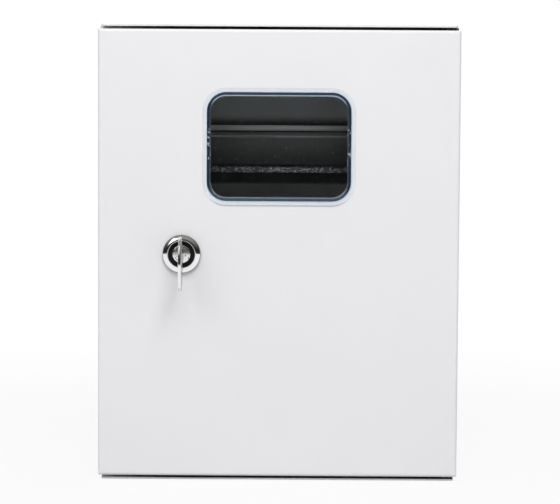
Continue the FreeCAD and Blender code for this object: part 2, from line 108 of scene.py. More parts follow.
class Finish:  # builds one node tree
    def __init__(self, owner):
        self.owner = owner
        owner.use_nodes = True
        self.tree = owner.node_tree
        self.tree.nodes.clear()

    def add(self, kind, settings=None, inputs=None, out=0):
        node = self.tree.nodes.new(kind)
        for name, value in (settings or {}).items():
            setattr(node, name, value)
        for name, value in (inputs or {}).items():
            if isinstance(value, Wire):
                self.tree.links.new(value.socket, node.inputs[name])
            else:
                node.inputs[name].default_value = value
        return Wire(self, node.outputs[out]) if len(node.outputs) else node

    def place(self, stretch=None, turn=(0, 0, 0)):
        spot = self.add("ShaderNodeTexCoord", out="Object")
        if stretch is None:
            return spot
        return self.add("ShaderNodeMapping", inputs={"Vector": spot, "Rotation": turn, "Scale": stretch})

    def along(self, axis, spot):  # one coordinate of a place
        return self.add("ShaderNodeSeparateXYZ", inputs={0: spot}, out=axis)

    def vector(self, operation, *terms, out=0):
        return self.add("ShaderNodeVectorMath", {"operation": operation}, dict(enumerate(terms)), out)

    def cloud(self, spot, scale, detail, rough=0.5):
        return self.add("ShaderNodeTexNoise", inputs={"Vector": spot, "Scale": scale, "Detail": detail,
                                                      "Roughness": rough})

    def cells(self, spot, scale, out):
        return self.add("ShaderNodeTexVoronoi", inputs={"Vector": spot, "Scale": scale}, out=out)

    def between(self, value, first, last):  # 0 at first, 1 at last, level outside
        return self.add("ShaderNodeMapRange", {"interpolation_type": "SMOOTHSTEP"},
                        {"Value": value, "From Min": first, "From Max": last})

    def tint(self, amount, first, second):
        return self.add("ShaderNodeMix", {"data_type": "RGBA"}, {0: amount, 6: first, 7: second}, 2)

    def bump(self, height, depth):
        return self.add("ShaderNodeBump", inputs={"Height": height, "Distance": depth, "Strength": 1.0})

    def ray(self, kind):
        return self.add("ShaderNodeLightPath", out="Is " + kind + " Ray")

    def seen(self):  # by the camera, in a mirror or through the window
        return self.ray("Camera") + self.ray("Glossy") + self.ray("Transmission")

    def mixed(self, amount, first, second):
        return self.add("ShaderNodeMixShader", inputs={0: amount, 1: first, 2: second})

    def shader(self, **inputs):
        named = {name.replace("_", " "): value for name, value in inputs.items()}
        return self.add("ShaderNodeBsdfPrincipled", inputs=named)

    def show(self, surface):
        kind = "World" if isinstance(self.owner, bpy.types.World) else "Material"
        self.add("ShaderNodeOutput" + kind, inputs={"Surface": surface})
        return self.owner


def newFinish(name):
    return Finish(bpy.data.materials.new(name))


# Finishes. A pair of places or levels runs from where an effect starts to where it is full

paint = {
    "colour": (0.80, 0.80, 0.802, 1), "thin": (0.776, 0.776, 0.780, 1), "paintedShade": (0.050, 0.045, 0.040, 1),
    "mottle": 14, "peel": 520, "peelDepth": 0.000012, "speck": 1900, "speckLevel": (0.70, 0.78),
    "roughness": 0.40,
}


def powderCoat(name, shadeMask):
    f = newFinish(name)
    spot = f.place()
    mottle = f.cloud(spot, paint["mottle"], 4)
    peel = f.cloud(spot, paint["peel"], 2)
    speck = f.between(f.cloud(spot, paint["speck"], 1), *paint["speckLevel"])
    thin = f.between(mottle, 0.35, 0.75) * 0.5 + speck * 0.25
    # painted shade: the mask darkens the paint where shade falls, in the door slots and along the rails
    paintedShade = shadeMask(f, spot) * (0.62 + mottle * 0.5)
    colour = f.tint(paintedShade, f.tint(thin, paint["colour"], paint["thin"]), paint["paintedShade"])
    rough = paint["roughness"] + (mottle - 0.5) * 0.10 + (peel - 0.5) * 0.08 + paintedShade * 0.3
    return f.show(f.shader(Base_Color=colour, IOR=1.5, Roughness=rough,
                           Normal=f.bump(peel, paint["peelDepth"])))


# where the painted shade and painted shadow go
dustAndShade = {  # places in metres
    "slotFrom": (0.1525, 0.1550), "slotTo": (0.15712, 0.15702), "slotDepth": (-0.1025, -0.1040),
    "rimLevel": (0.1546, 0.15495), "rimDepth": (-0.1235, -0.1215),
    "leftEndFade": (-0.118, -0.072), "leftEndShade": 0.1,
    "wallFront": (-0.0040, -0.0020), "wallBack": (-0.0004, -0.0009),
    "underRail": (-0.0095, -0.0070), "overRail": (0.0080, 0.0010), "railEnd": (0.003, -0.012),
}


def fadeAtLeftEnd(f, side):  # the painted shade fades out towards the left end of the slots
    return dustAndShade["leftEndShade"] + (1 - dustAndShade["leftEndShade"]) * f.between(side, *dustAndShade["leftEndFade"])


def boxPaintedShade(f, spot):  # painted shade in the slots above and below the door, and painted shadow on the wall along the rails
    side, depth, level = (f.along(axis, spot) for axis in "XYZ")
    height = abs(level)
    slot = f.between(height, *dustAndShade["slotFrom"]) * f.between(height, *dustAndShade["slotTo"])
    darkening = slot * f.between(depth, *dustAndShade["slotDepth"]) * fadeAtLeftEnd(f, side)
    wall = f.between(depth, *dustAndShade["wallFront"]) * f.between(depth, *dustAndShade["wallBack"])
    for rail in ("upper_rail", "lower_rail"):
        low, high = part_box(rail)
        under = f.between(level, *(low.z + reach for reach in dustAndShade["underRail"]))
        over = f.between(level, *(high.z + reach for reach in dustAndShade["overRail"]))
        run = f.between(abs(side), *(high.x + reach for reach in dustAndShade["railEnd"]))
        darkening = darkening + under * over * run * wall
    return darkening


def doorPaintedShade(f, spot):  # painted shade on the door's own edges in the slots
    side, depth, level = (f.along(axis, spot) for axis in "XYZ")
    rim = f.between(abs(level), *dustAndShade["rimLevel"]) * f.between(depth, *dustAndShade["rimDepth"])
    return rim * fadeAtLeftEnd(f, side)


def zincPlate():
    zinc = {"colour": (0.62, 0.63, 0.65, 1), "warm": (0.60, 0.585, 0.53, 1), "roughness": 0.30,
            "blotch": 70, "grain": 900, "rolled": (60, 1500, 1500), "lineDepth": 0.000006}
    f = newFinish("zincPlate")
    spot = f.place()
    blotch = f.between(f.cloud(spot, zinc["blotch"], 3), 0.40, 0.70)
    rolled = f.cloud(f.place(zinc["rolled"]), 1, 3)  # lines along the strip
    grain = f.cloud(spot, zinc["grain"], 2)
    colour = f.tint(blotch * 0.6, zinc["colour"], zinc["warm"])
    rough = zinc["roughness"] + (grain - 0.5) * 0.16 + (rolled - 0.5) * 0.14
    return f.show(f.shader(Base_Color=colour, Metallic=1.0, Roughness=rough,
                           Normal=f.bump(rolled + grain * 0.5, zinc["lineDepth"])))


def slotShadedZinc():
    pin = {"colour": (0.60, 0.60, 0.61, 1), "greaseAndShade": (0.022, 0.020, 0.017, 1), "smear": 600,
           "smearLevel": (0.20, 0.42), "smearDepth": 0.00003, "inSlot": (0.15715, 0.15695)}
    f = newFinish("slotShadedZinc")
    spot = f.place()
    smear = f.cloud(spot, pin["smear"], 3)
    inSlot = f.between(abs(f.along("Z", spot)), *pin["inSlot"])  # only inside the slot: a grease smear that darkens the pins there as painted shade; the rivet heads outside stay plain zinc
    greaseAndShade = f.between(smear, *pin["smearLevel"]) * inSlot
    colour = f.tint(greaseAndShade, pin["colour"], pin["greaseAndShade"])
    return f.show(f.shader(Base_Color=colour, Metallic=0.95 - greaseAndShade * 0.9, Roughness=0.32 + greaseAndShade * 0.12,
                           Normal=f.bump(smear, pin["smearDepth"])))


def railZinc(node):
    rail = {"lip": (0.62, 0.605, 0.585, 1), "under": (0.30, 0.29, 0.28, 1), "web": (0.30, 0.30, 0.30, 1),
            "webFoot": (0.21, 0.21, 0.21, 1), "dull": (0.36, 0.36, 0.39, 1),
            "spangleAndGlint": (0.86, 0.845, 0.89, 1), "rolled": (25, 1400, 1400), "grains": (650, 1100, 1100),
            "lineDepth": 0.00001,
            # metres, from the middle of the rail and from the wall
            "webDepth": (-0.0080, -0.0035), "webLevel": (-0.010, 0.006), "lipLevel": (0.0128, 0.0158),
            "lowLip": (-0.0124, -0.0132), "highlightAt": 0.0091, "highlightWidth": (0.0012, 0.00036)}
    f = newFinish(node + "Zinc")
    spot = f.place()
    height = f.along("Z", spot) - middleOf(node).z
    web = f.between(f.along("Y", spot), *rail["webDepth"])  # the web lies deep: it is rougher, and painted darker as shade
    rolled = f.cloud(f.place(rail["rolled"]), 1, 3)
    # painted highlight: a thin broken bright line across the web, below the upper lip
    rubAndHighlight = f.between(abs(height - rail["highlightAt"]), *rail["highlightWidth"]) * f.between(rolled, 0.30, 0.55)
    grains = f.cells(f.place(rail["grains"]), 1.0, "Color")
    fleck = f.add("ShaderNodeSeparateColor", inputs={0: grains}, out="Red")
    lowLip = f.between(height, *rail["lowLip"])
    # zinc spangle flecks on the lower lip, brightened into painted glints
    spangleAndGlint = lowLip * f.between(fleck, 0.52, 0.66)
    # painted highlight on the top of the upper lip, and painted shade darkening the web towards its foot
    lip = f.tint(f.between(height, *rail["lipLevel"]), rail["under"], rail["lip"])
    deep = f.tint(f.between(height, *rail["webLevel"]), rail["webFoot"], rail["web"])
    colour = f.tint(lowLip * 0.8, f.tint(web, lip, deep), rail["dull"])
    colour = f.tint(rubAndHighlight * 0.7 + spangleAndGlint, colour, rail["spangleAndGlint"])
    rough = 0.36 + web * 0.14 + (rolled - 0.5) * 0.18 - spangleAndGlint * 0.10
    return f.show(f.shader(Base_Color=colour, Metallic=1.0, Roughness=rough,
                           Normal=f.bump(rolled + fleck * 0.4, rail["lineDepth"])))


def drawnBrass():
    brass = {"colour": (0.80, 0.60, 0.27, 1), "dull": (0.60, 0.42, 0.18, 1), "stain": 55,
             "drawn": (40, 1800, 1800), "lineDepth": 0.000006}
    f = newFinish("drawnBrass")
    stain = f.between(f.cloud(f.place(), brass["stain"], 5, 0.6), 0.38, 0.80)
    drawn = f.cloud(f.place(brass["drawn"]), 1, 2)
    colour = f.tint(stain * 0.55, brass["colour"], brass["dull"])
    rough = 0.24 + stain * 0.18 + (drawn - 0.5) * 0.14
    return f.show(f.shader(Base_Color=colour, Metallic=1.0, Roughness=rough,
                           Normal=f.bump(drawn, brass["lineDepth"])))


def brightPlating():
    plating = {"colour": (0.86, 0.86, 0.87, 1), "smudged": (0.74, 0.74, 0.75, 1),
               "paintedDarkEdge": (0.10, 0.10, 0.105, 1), "outerEdge": (0.01268, 0.01300), "smudge": 120,
               "smudgeDepth": 0.000002, "pit": 1400}
    f = newFinish("brightPlating")
    spot = f.place()
    smudge = f.between(f.cloud(spot, plating["smudge"], 4), 0.45, 0.75)
    pit = f.between(f.cloud(spot, plating["pit"], 1), 0.72, 0.80)
    across = f.vector("MULTIPLY", f.vector("SUBTRACT", spot, middleOf("lock_housing")), (1, 0, 1))
    radius = f.vector("LENGTH", across, out="Value")
    # painted shade: the ring's outer edge, where it meets the door, is darkened almost to black
    paintedDarkEdge = f.between(radius, *plating["outerEdge"])
    colour = f.tint(smudge * 0.4, plating["colour"], plating["smudged"])
    colour = f.tint(paintedDarkEdge * 0.9, colour, plating["paintedDarkEdge"])
    rough = 0.06 + smudge * 0.07 + pit * 0.2 + paintedDarkEdge * 0.2
    return f.show(f.shader(Base_Color=colour, Metallic=1.0, Roughness=rough,
                           Normal=f.bump(smudge, plating["smudgeDepth"])))


def satinPlug():
    plug = {"colour": (0.88, 0.88, 0.90, 1), "pitted": (0.12, 0.12, 0.14, 1), "pit": 850, "haze": 260,
            "pitDepth": -0.00004}
    f = newFinish("satinPlug")
    spot = f.place()
    pit = f.between(f.cloud(spot, plug["pit"], 2), 0.56, 0.68)
    haze = f.cloud(spot, plug["haze"], 3)
    colour = f.tint(pit * 0.85, plug["colour"], plug["pitted"])
    rough = 0.24 + (haze - 0.5) * 0.2 + pit * 0.2
    return f.show(f.shader(Base_Color=colour, Metallic=1.0, Roughness=rough,
                           Normal=f.bump(pit, plug["pitDepth"])))


def shadedRecess():
    # painted shade: a near-black finish for the faces in the lock's recess, standing in for the shade in the
    # groove
    recessDark = {"colour": (0.010, 0.010, 0.010, 1), "shadeVariant": (0.028, 0.027, 0.025, 1), "greaseAndShade": 420,
               "greaseDepth": 0.00002}
    f = newFinish("shadedRecess")
    greaseAndShade = f.cloud(f.place(), recessDark["greaseAndShade"], 3)
    colour = f.tint(greaseAndShade, recessDark["colour"], recessDark["shadeVariant"])
    return f.show(f.shader(Base_Color=colour, Specular_IOR_Level=0.2, Roughness=0.62 + (greaseAndShade - 0.5) * 0.3,
                           Normal=f.bump(greaseAndShade, recessDark["greaseDepth"])))


def nickelPlate():
    nickel = {"rim": (0.91, 0.905, 0.895, 1), "worn": (0.80, 0.79, 0.77, 1), "flat": (0.50, 0.485, 0.45, 1),
              "haze": 240, "rubAndHighlight": (500, 90, 900), "rubTurn": (0.5, 0, 0), "rubDepth": 0.000004,
              "underFace": (0.00012, 0.00004)}
    f = newFinish("nickelPlate")
    spot = f.place()
    middle = middleOf("key").x
    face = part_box("key")[1].x - middle
    flat = f.between(abs(f.along("X", spot) - middle), *(face - under for under in nickel["underFace"]))
    rubAndHighlight = f.between(f.cloud(f.place(nickel["rubAndHighlight"], nickel["rubTurn"]), 1, 3), 0.52, 0.70)
    haze = f.cloud(spot, nickel["haze"], 3)
    colour = f.tint(haze, nickel["rim"], nickel["worn"])
    colour = f.tint(flat * (0.75 + haze * 0.3), colour, nickel["flat"])  # the stamped flats are duller
    rough = 0.06 + haze * 0.08 + rubAndHighlight * 0.08 + flat * 0.18
    return f.show(f.shader(Base_Color=colour, Metallic=1.0, Roughness=rough,
                           Normal=f.bump(rubAndHighlight, nickel["rubDepth"])))


def foamRubber():
    foam = {"colour": (0.030, 0.030, 0.032, 1), "dusty": (0.075, 0.073, 0.070, 1), "pores": 1500, "dustAndShade": 130,
            "poreDepth": 0.00012}
    f = newFinish("foamRubber")
    spot = f.place()
    pores = f.cells(spot, foam["pores"], "Distance")
    dusty = f.between(f.cloud(spot, foam["dustAndShade"], 4), 0.5, 0.8)
    colour = f.tint(dusty * 0.6, foam["colour"], foam["dusty"])
    return f.show(f.shader(Base_Color=colour, Roughness=0.82 + dusty * 0.12,
                           Normal=f.bump(pores, foam["poreDepth"])))


clearWearAndGlints = {
    "ior": 1.49, "roughness": 0.012, "dustAndShade": 900, "dustLevel": (0.67, 0.77),
    "scratch": (2600, 2600, 120), "scratchTurn": (0, 0.7, 0), "scratchLevel": (0.78, 0.82),
    "lugGlintColour": (0.75, 0.80, 0.86, 1), "lugGlint": 420, "lugGlintLevel": (0.52, 0.63),
    "besideLug": (0.0140, 0.0110), "sideRun": (0.033, 0.027),  # metres from the window's middle
}


def clearFilm(name, colour, cover, foot=None):  # so thin over the paint that it hardly shows
    film = {"haze": 160, "unevenness": 0.04, "roughness": 0.10}
    f = newFinish(name)
    spot = f.place()
    haze = f.cloud(spot, film["haze"], 3)
    alpha = cover + (haze - 0.5) * film["unevenness"]
    if foot:  # painted shade: the rim is darker and more opaque along its lower edge, which also darkens its shadow on the door below
        darkening = f.between(f.along("Z", spot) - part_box("window_pane")[0].z, *foot["level"])
        colour = f.tint(darkening, colour, foot["colour"])
        alpha = alpha + darkening * foot["cover"]
    rough = film["roughness"] + haze * 0.1
    return f.show(f.shader(Base_Color=colour, IOR=clearWearAndGlints["ior"], Roughness=rough, Alpha=alpha))


def clearPlastic(name, colour, shadow, clear=1.0, sides=None):
    f = newFinish(name)
    spot = f.place()
    if sides:  # another, darker tint on the left and right runs of the moulding, so the edges look lit along the top and bottom only (painted light), with painted glints beside the lugs
        height = abs(f.along("Z", spot) - middleOf("window_pane").z)
        lugGlint = f.between(f.cloud(spot, clearWearAndGlints["lugGlint"], 2), *clearWearAndGlints["lugGlintLevel"])
        lugGlint = f.between(height, *clearWearAndGlints["besideLug"]) * lugGlint
        colour = f.tint(f.between(height, *clearWearAndGlints["sideRun"]), colour, sides)
        colour = f.tint(lugGlint * 0.7, colour, clearWearAndGlints["lugGlintColour"])
    specks = f.between(f.cloud(spot, clearWearAndGlints["dustAndShade"], 2), *clearWearAndGlints["dustLevel"])
    lines = f.cloud(f.place(clearWearAndGlints["scratch"], clearWearAndGlints["scratchTurn"]), 1, 1)
    scratch = f.between(lines, *clearWearAndGlints["scratchLevel"])
    rough = clearWearAndGlints["roughness"] + specks * 0.45 + scratch * 0.35
    shell = f.shader(Base_Color=colour, Transmission_Weight=clear, IOR=clearWearAndGlints["ior"], Roughness=rough)
    passing = f.add("ShaderNodeBsdfTransparent", inputs={"Color": shadow})
    return f.show(f.mixed(f.ray("Shadow"), shell, passing))


def mouldedPlastic(name, colour, roughness):
    plastic = {"flow": (120, 120, 500), "darker": 0.82, "grain": 1600, "grainDepth": 0.00001}
    f = newFinish(name)
    flow = f.cloud(f.place(plastic["flow"]), 1, 3)
    grain = f.cloud(f.place(), plastic["grain"], 2)
    dark = tuple(channel * plastic["darker"] for channel in colour[:3]) + (1,)
    rough = roughness + (grain - 0.5) * 0.16
    return f.show(f.shader(Base_Color=f.tint(flow, colour, dark), IOR=1.5, Roughness=rough,
                           Normal=f.bump(grain, plastic["grainDepth"])))


slotFinish = {
    "grey_paint": powderCoat("powderCoat", boxPaintedShade),
    "zinc_steel": zincPlate(),
    "brass": drawnBrass(),
    "chrome": brightPlating(),
    "nickel_key": nickelPlate(),
    "foam_rubber": foamRubber(),
    "clear_plastic": clearPlastic("clearPane", (0.92, 0.95, 0.96, 1), (0.60, 0.61, 0.61, 1)),
    "nylon": mouldedPlastic("naturalNylon", (0.80, 0.79, 0.74, 1), 0.42),
    "blue_plastic": mouldedPlastic("bluePlastic", (0.06, 0.20, 0.55, 1), 0.40),
    "green_plastic": mouldedPlastic("greenPlastic", (0.07, 0.36, 0.15, 1), 0.40),
}
pinFinish = slotShadedZinc()
ownFinish = {  # nodes that differ from the rest of their slot
    "door_panel": powderCoat("doorCoat", doorPaintedShade),
    "lock_plug": satinPlug(),
    "hinge_pin_top": pinFinish,
    "hinge_pin_bottom": pinFinish,
    "upper_rail": railZinc("upper_rail"),
    "lower_rail": railZinc("lower_rail"),
}
nodeFinish = {name: ownFinish.get(name, slotFinish[nodeSlot[name]]) for name in nodes}
for name, node in nodes.items():
    node.data.materials.clear()
    node.data.materials.append(nodeFinish[name])

recessShade = shadedRecess()
paneFinishes = [  # in the order that paneShape's zones number them
    slotFinish["clear_plastic"],
    clearFilm("clearFlange", (0.60, 0.80, 1.0, 1), 0.070),
    # painted light: the skirt ring is half opaque dark navy, standing in for the dark seen through its end,
    # and the ring at the inner step is half opaque pale, standing in for the light line along its edge
    clearPlastic("clearEdge", (0.065, 0.10, 0.16, 1), (0.55, 0.66, 0.78, 1), 0.5, (0.035, 0.055, 0.080, 1)),
    clearPlastic("paleEdge", (0.58, 0.68, 0.80, 1), (0.80, 0.85, 0.90, 1), 0.55, (0.09, 0.13, 0.18, 1)),
    clearFilm("clearRim", (0.55, 0.64, 0.74, 1), 0.20,
              {"colour": (0.36, 0.40, 0.44, 1), "cover": 0.65, "level": (0.0050, 0.0012)}),
]
print("finishes made:", len(bpy.data.materials))


# Mesh helpers

def addPiece(name, bm, node, finishList=None, sharp=40):
    mesh = bpy.data.meshes.new(name)
    bm.to_mesh(mesh)
    bm.free()
    for layer in ("custom_normal", "sharp_edge", "sharp_face"):
        if layer in mesh.attributes:
            mesh.attributes.remove(mesh.attributes[layer])
    for finish in finishList or [nodeFinish[node]]:
        mesh.materials.append(finish)
    mesh.shade_smooth()
    mesh.set_sharp_from_angle(angle=math.radians(sharp))
    piece = bpy.data.objects.new(name, mesh)
    scene.collection.objects.link(piece)
    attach(piece, nodeBody[node])
    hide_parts(node)
    even = piece.modifiers.new("evenNormals", "WEIGHTED_NORMAL")  # flat faces stay flat beside rounded edges
    even.keep_sharp = True
    return piece


def bevel(bm, geom, width, steps, affect="EDGES"):
    bmesh.ops.bevel(bm, geom=geom, offset=width, segments=steps, profile=0.5, material=-1, affect=affect)


def roundedFace(bm, node, y, corner, steps, turn):
    # One round-cornered face, as wide and high as the node, looking forwards (turn 1) or backwards (turn -1)
    low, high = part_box(node)
    middle = middleOf(node)
    known = set(bm.faces)
    corners = bmesh.ops.create_grid(bm, x_segments=1, y_segments=1, size=0.5)["verts"]
    bmesh.ops.scale(bm, verts=corners, vec=(high.x - low.x, high.z - low.z, 1))
    bmesh.ops.rotate(bm, verts=corners, cent=(0, 0, 0), matrix=Matrix.Rotation(turn * math.pi / 2, 3, "X"))
    bmesh.ops.translate(bm, verts=corners, vec=(middle.x, y, middle.z))
    bevel(bm, corners, corner, steps, "VERTICES")
    return next(face for face in bm.faces if face not in known)


def stepInwards(bm, face, profile):
    # Follows a profile of (inwards, along the face's normal) points from the face's rim, in millimetres
    rings = []
    for (inward, rise), (nextInward, nextRise) in zip(profile, profile[1:]):
        ring = bmesh.ops.inset_individual(bm, faces=[face], thickness=(nextInward - inward) * mm,
                                          depth=(nextRise - rise) * mm, use_even_offset=True)["faces"]
        rings.append(((inward + nextInward) / 2, ring))
    return rings


def lathe(bm, corners, hub, axis, steps, roundSteps=5):
    # Spins (radius, ahead, rounding) corners about an axis through hub
    out = axis.orthogonal().normalized()
    points = [bm.verts.new(hub + out * radius + axis * ahead) for radius, ahead, rounding in corners]
    for first, second in zip(points, points[1:]):
        bm.edges.new((first, second))
    if corners[0][0] > 0:  # a ring that never meets the axis closes on itself
        bm.edges.new((points[-1], points[0]))
    for point, (radius, ahead, rounding) in zip(points, corners):
        if rounding:
            bevel(bm, [point], rounding, roundSteps, "VERTICES")
    wire = [edge for edge in bm.edges if edge.is_wire]
    line = list({vert for edge in wire for vert in edge.verts})
    before = set(bm.faces)
    bmesh.ops.spin(bm, geom=line + wire, cent=hub, axis=axis, angle=2 * math.pi, steps=steps, use_merge=True,
                   use_duplicate=False)
    bmesh.ops.remove_doubles(bm, verts=bm.verts, dist=1e-7)
    bmesh.ops.recalc_face_normals(bm, faces=[face for face in bm.faces if face not in before])


def threadCorners(radius, depth, pitch, start, end):
    turns = int((end - start) / pitch)
    corners = []
    for turn in range(turns):
        root = start + turn * pitch
        corners += [(radius - depth, root, 0), (radius, root + pitch / 2, 0)]
    return corners + [(radius - depth, start + turns * pitch, 0)]


def inMetres(corners):
    return [tuple(value * mm for value in corner) for corner in corners]


# Clear window moulding

paneShape = {
    "corner": 16.3 * mm, "steps": 12, "airGap": 0.03 * mm,
    # (inwards from the flange's edge, in front of the flange's back)
    "front": [(0, 0), (0, 0.42), (0.12, 0.72), (0.4, 0.91), (0.8, 0.97), (3.2, 0.97), (4.65, 0.97),
              (4.9, 1.03), (5.15, 1.27), (5.4, 1.59), (5.65, 1.73), (6.0, 1.77)],
    # (inwards, behind the flange's back)
    "back": [(0, 0), (3.1, 0), (3.2, 0.13), (3.2, 5.83), (3.4, 6.03), (4.8, 6.03), (5.0, 5.73), (5.0, 1.53),
             (5.1, 1.08), (5.4, 0.89), (5.9, 0.83)],
    # (inwards to, finish)
    "frontZones": [(0.15, 4), (3.15, 1), (4.88, 2), (5.8, 3), (9.0, 0)],
    "backZones": [(0.15, 4), (3.15, 1), (5.8, 2), (9.0, 0)],
    "lugFinish": 2,
}
lugShape = {"inwards": 3.2 * mm, "behind": 1.3 * mm, "length": 24 * mm, "reach": 1.5 * mm,
            "height": 3.2 * mm, "ramp": 0.9, "edge": 0.2 * mm, "steps": 2}


def snapLug(bm, side, face):  # ramped catch that snaps behind the door's sheet
    low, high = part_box("window_pane")
    middle = middleOf("window_pane")
    size = Vector((lugShape["reach"], lugShape["height"], lugShape["length"]))
    seat = (high.x - low.x) / 2 - lugShape["inwards"] + size.x / 2
    centre = Vector((middle.x + side * seat, face + lugShape["behind"] + size.y / 2, middle.z))
    catch = bmesh.ops.create_cube(bm, size=1)["verts"]
    bmesh.ops.scale(bm, verts=catch, vec=size)
    bmesh.ops.translate(bm, verts=catch, vec=centre)
    tip = [vert for vert in catch if vert.co.y > centre.y and side * (vert.co.x - centre.x) > 0]
    bmesh.ops.translate(bm, verts=tip, vec=(-side * size.x * lugShape["ramp"], 0, 0))
    for item in {item for vert in catch for item in vert.link_faces}:
        item.material_index = paneShape["lugFinish"]
    edges = list({edge for vert in catch for edge in vert.link_edges})
    bevel(bm, edges, lugShape["edge"], lugShape["steps"])


def clearPane():
    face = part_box("door_panel")[0].y
    bm = bmesh.new()
    for side, turn in (("front", 1), ("back", -1)):
        plate = roundedFace(bm, "window_pane", face - paneShape["airGap"], paneShape["corner"],
                            paneShape["steps"], turn)
        for inward, ring in stepInwards(bm, plate, paneShape[side]):
            zone = next(finish for limit, finish in paneShape[side + "Zones"] if inward < limit)
            for item in ring:
                item.material_index = zone
    bmesh.ops.remove_doubles(bm, verts=bm.verts, dist=1e-6)
    for side in (-1, 1):
        snapLug(bm, side, face)
    return addPiece("clearPane", bm, "window_pane", paneFinishes)


# Foam seal, with the line that the cabinet's lip has pressed into it

sealShape = {
    "corner": 12.4 * mm, "steps": 8, "longEdge": 60 * mm, "cuts": 40, "unevenness": 0.05, "lumps": 55,
    # (inwards from the outer edge, height above the door's sheet)
    "profile": [(0, 0), (0, 4.6), (0.25, 5.8), (0.9, 6.8), (2.0, 7.35), (3.3, 7.5), (4.0, 7.4), (4.45, 7.0),
                (5.0, 6.85), (5.55, 7.0), (6.0, 7.4), (6.7, 7.5), (8.0, 7.35), (9.1, 6.8), (9.75, 5.8),
                (10, 4.6), (10, 0)],
    "stuckFace": [(0, 0), (10, 0)],
}


def foamSeal():
    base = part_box("door_gasket")[0].y
    bm = bmesh.new()
    for turn, profile in ((-1, sealShape["profile"]), (1, sealShape["stuckFace"])):
        plate = roundedFace(bm, "door_gasket", base, sealShape["corner"], sealShape["steps"], turn)
        stepInwards(bm, plate, profile)
        bmesh.ops.delete(bm, geom=[plate], context="FACES_ONLY")
    bmesh.ops.remove_doubles(bm, verts=bm.verts, dist=1e-6)
    runs = [edge for edge in bm.edges if edge.calc_length() > sealShape["longEdge"]]
    bmesh.ops.subdivide_edges(bm, edges=runs, cuts=sealShape["cuts"], use_grid_fill=True)
    for vert in bm.verts:  # foam never lies quite even
        lump = noise.noise(vert.co * sealShape["lumps"]) * 0.5 + 0.5
        vert.co.y = base + (vert.co.y - base) * (1 - sealShape["unevenness"] * lump)
    bmesh.ops.recalc_face_normals(bm, faces=bm.faces)
    seal = addPiece("foamSeal", bm, "door_gasket", sharp=60)
    return seal


# Lock: domed ring, dark recess, threaded barrel with two flats

lockShape = {  # millimetres, ahead of the door's face
    "ring": [(6.45, 0.6, 0), (9.2, 0.6, 0.3), (9.2, 4.4, 0.4), (10.4, 4.4, 0.75), (12.2, 3.35, 0.9),
             (13.2, 2.3, 0.45), (13.2, 0, 0.12), (6.45, 0, 0)],
    "recessR": 9.3, "recessFoot": 0.05, "recessTop": 3.9, "bore": 6.45, "bodyBore": 5.65, "shoulder": -4.0,
    "barrelR": 9.5, "threadDepth": 0.55, "threadFrom": 1.4, "threadShort": 0.4, "pitch": 1.0, "flats": 16.0,
    "steps": 96,
}


def lockBarrel(hub, ahead, end):
    shape = lockShape
    rootR = shape["barrelR"] - shape["threadDepth"]
    thread = threadCorners(shape["barrelR"], shape["threadDepth"], shape["pitch"], shape["threadFrom"],
                           -end - shape["threadShort"])
    outline = [(shape["bore"], 0, 0), (rootR, 0, 0)]
    outline += [(radius, -back, 0) for radius, back, rounding in thread]
    outline += [(rootR, end, 0), (shape["bodyBore"], end, 0), (shape["bodyBore"], shape["shoulder"], 0),
                (shape["bore"], shape["shoulder"], 0)]
    barrel = bmesh.new()
    lathe(barrel, inMetres(outline), hub, ahead, shape["steps"])
    for side in (-1, 1):
        flat = hub + Vector((side * shape["flats"] / 2 * mm, 0, 0))
        everything = barrel.verts[:] + barrel.edges[:] + barrel.faces[:]
        cut = bmesh.ops.bisect_plane(barrel, geom=everything, dist=1e-7, plane_co=flat, plane_no=(side, 0, 0),
                                     clear_outer=True)["geom_cut"]
        bmesh.ops.edgenet_fill(barrel, edges=[item for item in cut if isinstance(item, bmesh.types.BMEdge)])
    bmesh.ops.recalc_face_normals(barrel, faces=barrel.faces)
    mesh = bpy.data.meshes.new("barrel")
    barrel.to_mesh(mesh)
    barrel.free()
    return mesh


def lockHousing():
    middle = middleOf("lock_housing")
    hub = Vector((middle.x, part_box("door_panel")[0].y, middle.z))
    ahead = Vector((0, -1, 0))
    bm = bmesh.new()
    lathe(bm, inMetres(lockShape["ring"]), hub, ahead, lockShape["steps"])
    for face in bm.faces:
        spot = (face.calc_center_median() - hub) / mm
        inRecess = math.hypot(spot.x, spot.z) < lockShape["recessR"]
        # the faces in the recess take the painted shade finish
        if inRecess and lockShape["recessFoot"] < -spot.y < lockShape["recessTop"]:
            face.material_index = 1
    barrel = lockBarrel(hub, ahead, (hub.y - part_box("lock_housing")[1].y) / mm)
    bm.from_mesh(barrel)
    bpy.data.meshes.remove(barrel)
    return addPiece("lockHousing", bm, "lock_housing", [slotFinish["chrome"], recessShade], sharp=35)


# Threaded weld studs

studShape = {"pitch": 0.8 * mm, "depth": 0.42 * mm, "foot": 1.5 * mm, "runIn": 0.1 * mm, "tip": 0.7 * mm,
             "steps": 24}
studs = {  # which way each node's studs point, and their radius
    "rail_studs": (Vector((0, -1, 0)), 2.5 * mm),
    "earth_stud": (Vector((-1, 0, 0)), 3.0 * mm),
    "door_earth_stud": (Vector((0, 1, 0)), 3.0 * mm),
}


def studFeet(node, axis, radius):
    low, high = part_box(node)
    places = []
    for at in range(3):
        first, last = low[at] + radius, high[at] - radius
        if axis[at]:
            places.append([low[at] if axis[at] > 0 else high[at]])
        else:
            places.append([first, last] if last - first > radius else [(first + last) / 2])
    return [Vector((x, y, z)) for x in places[0] for y in places[1] for z in places[2]]


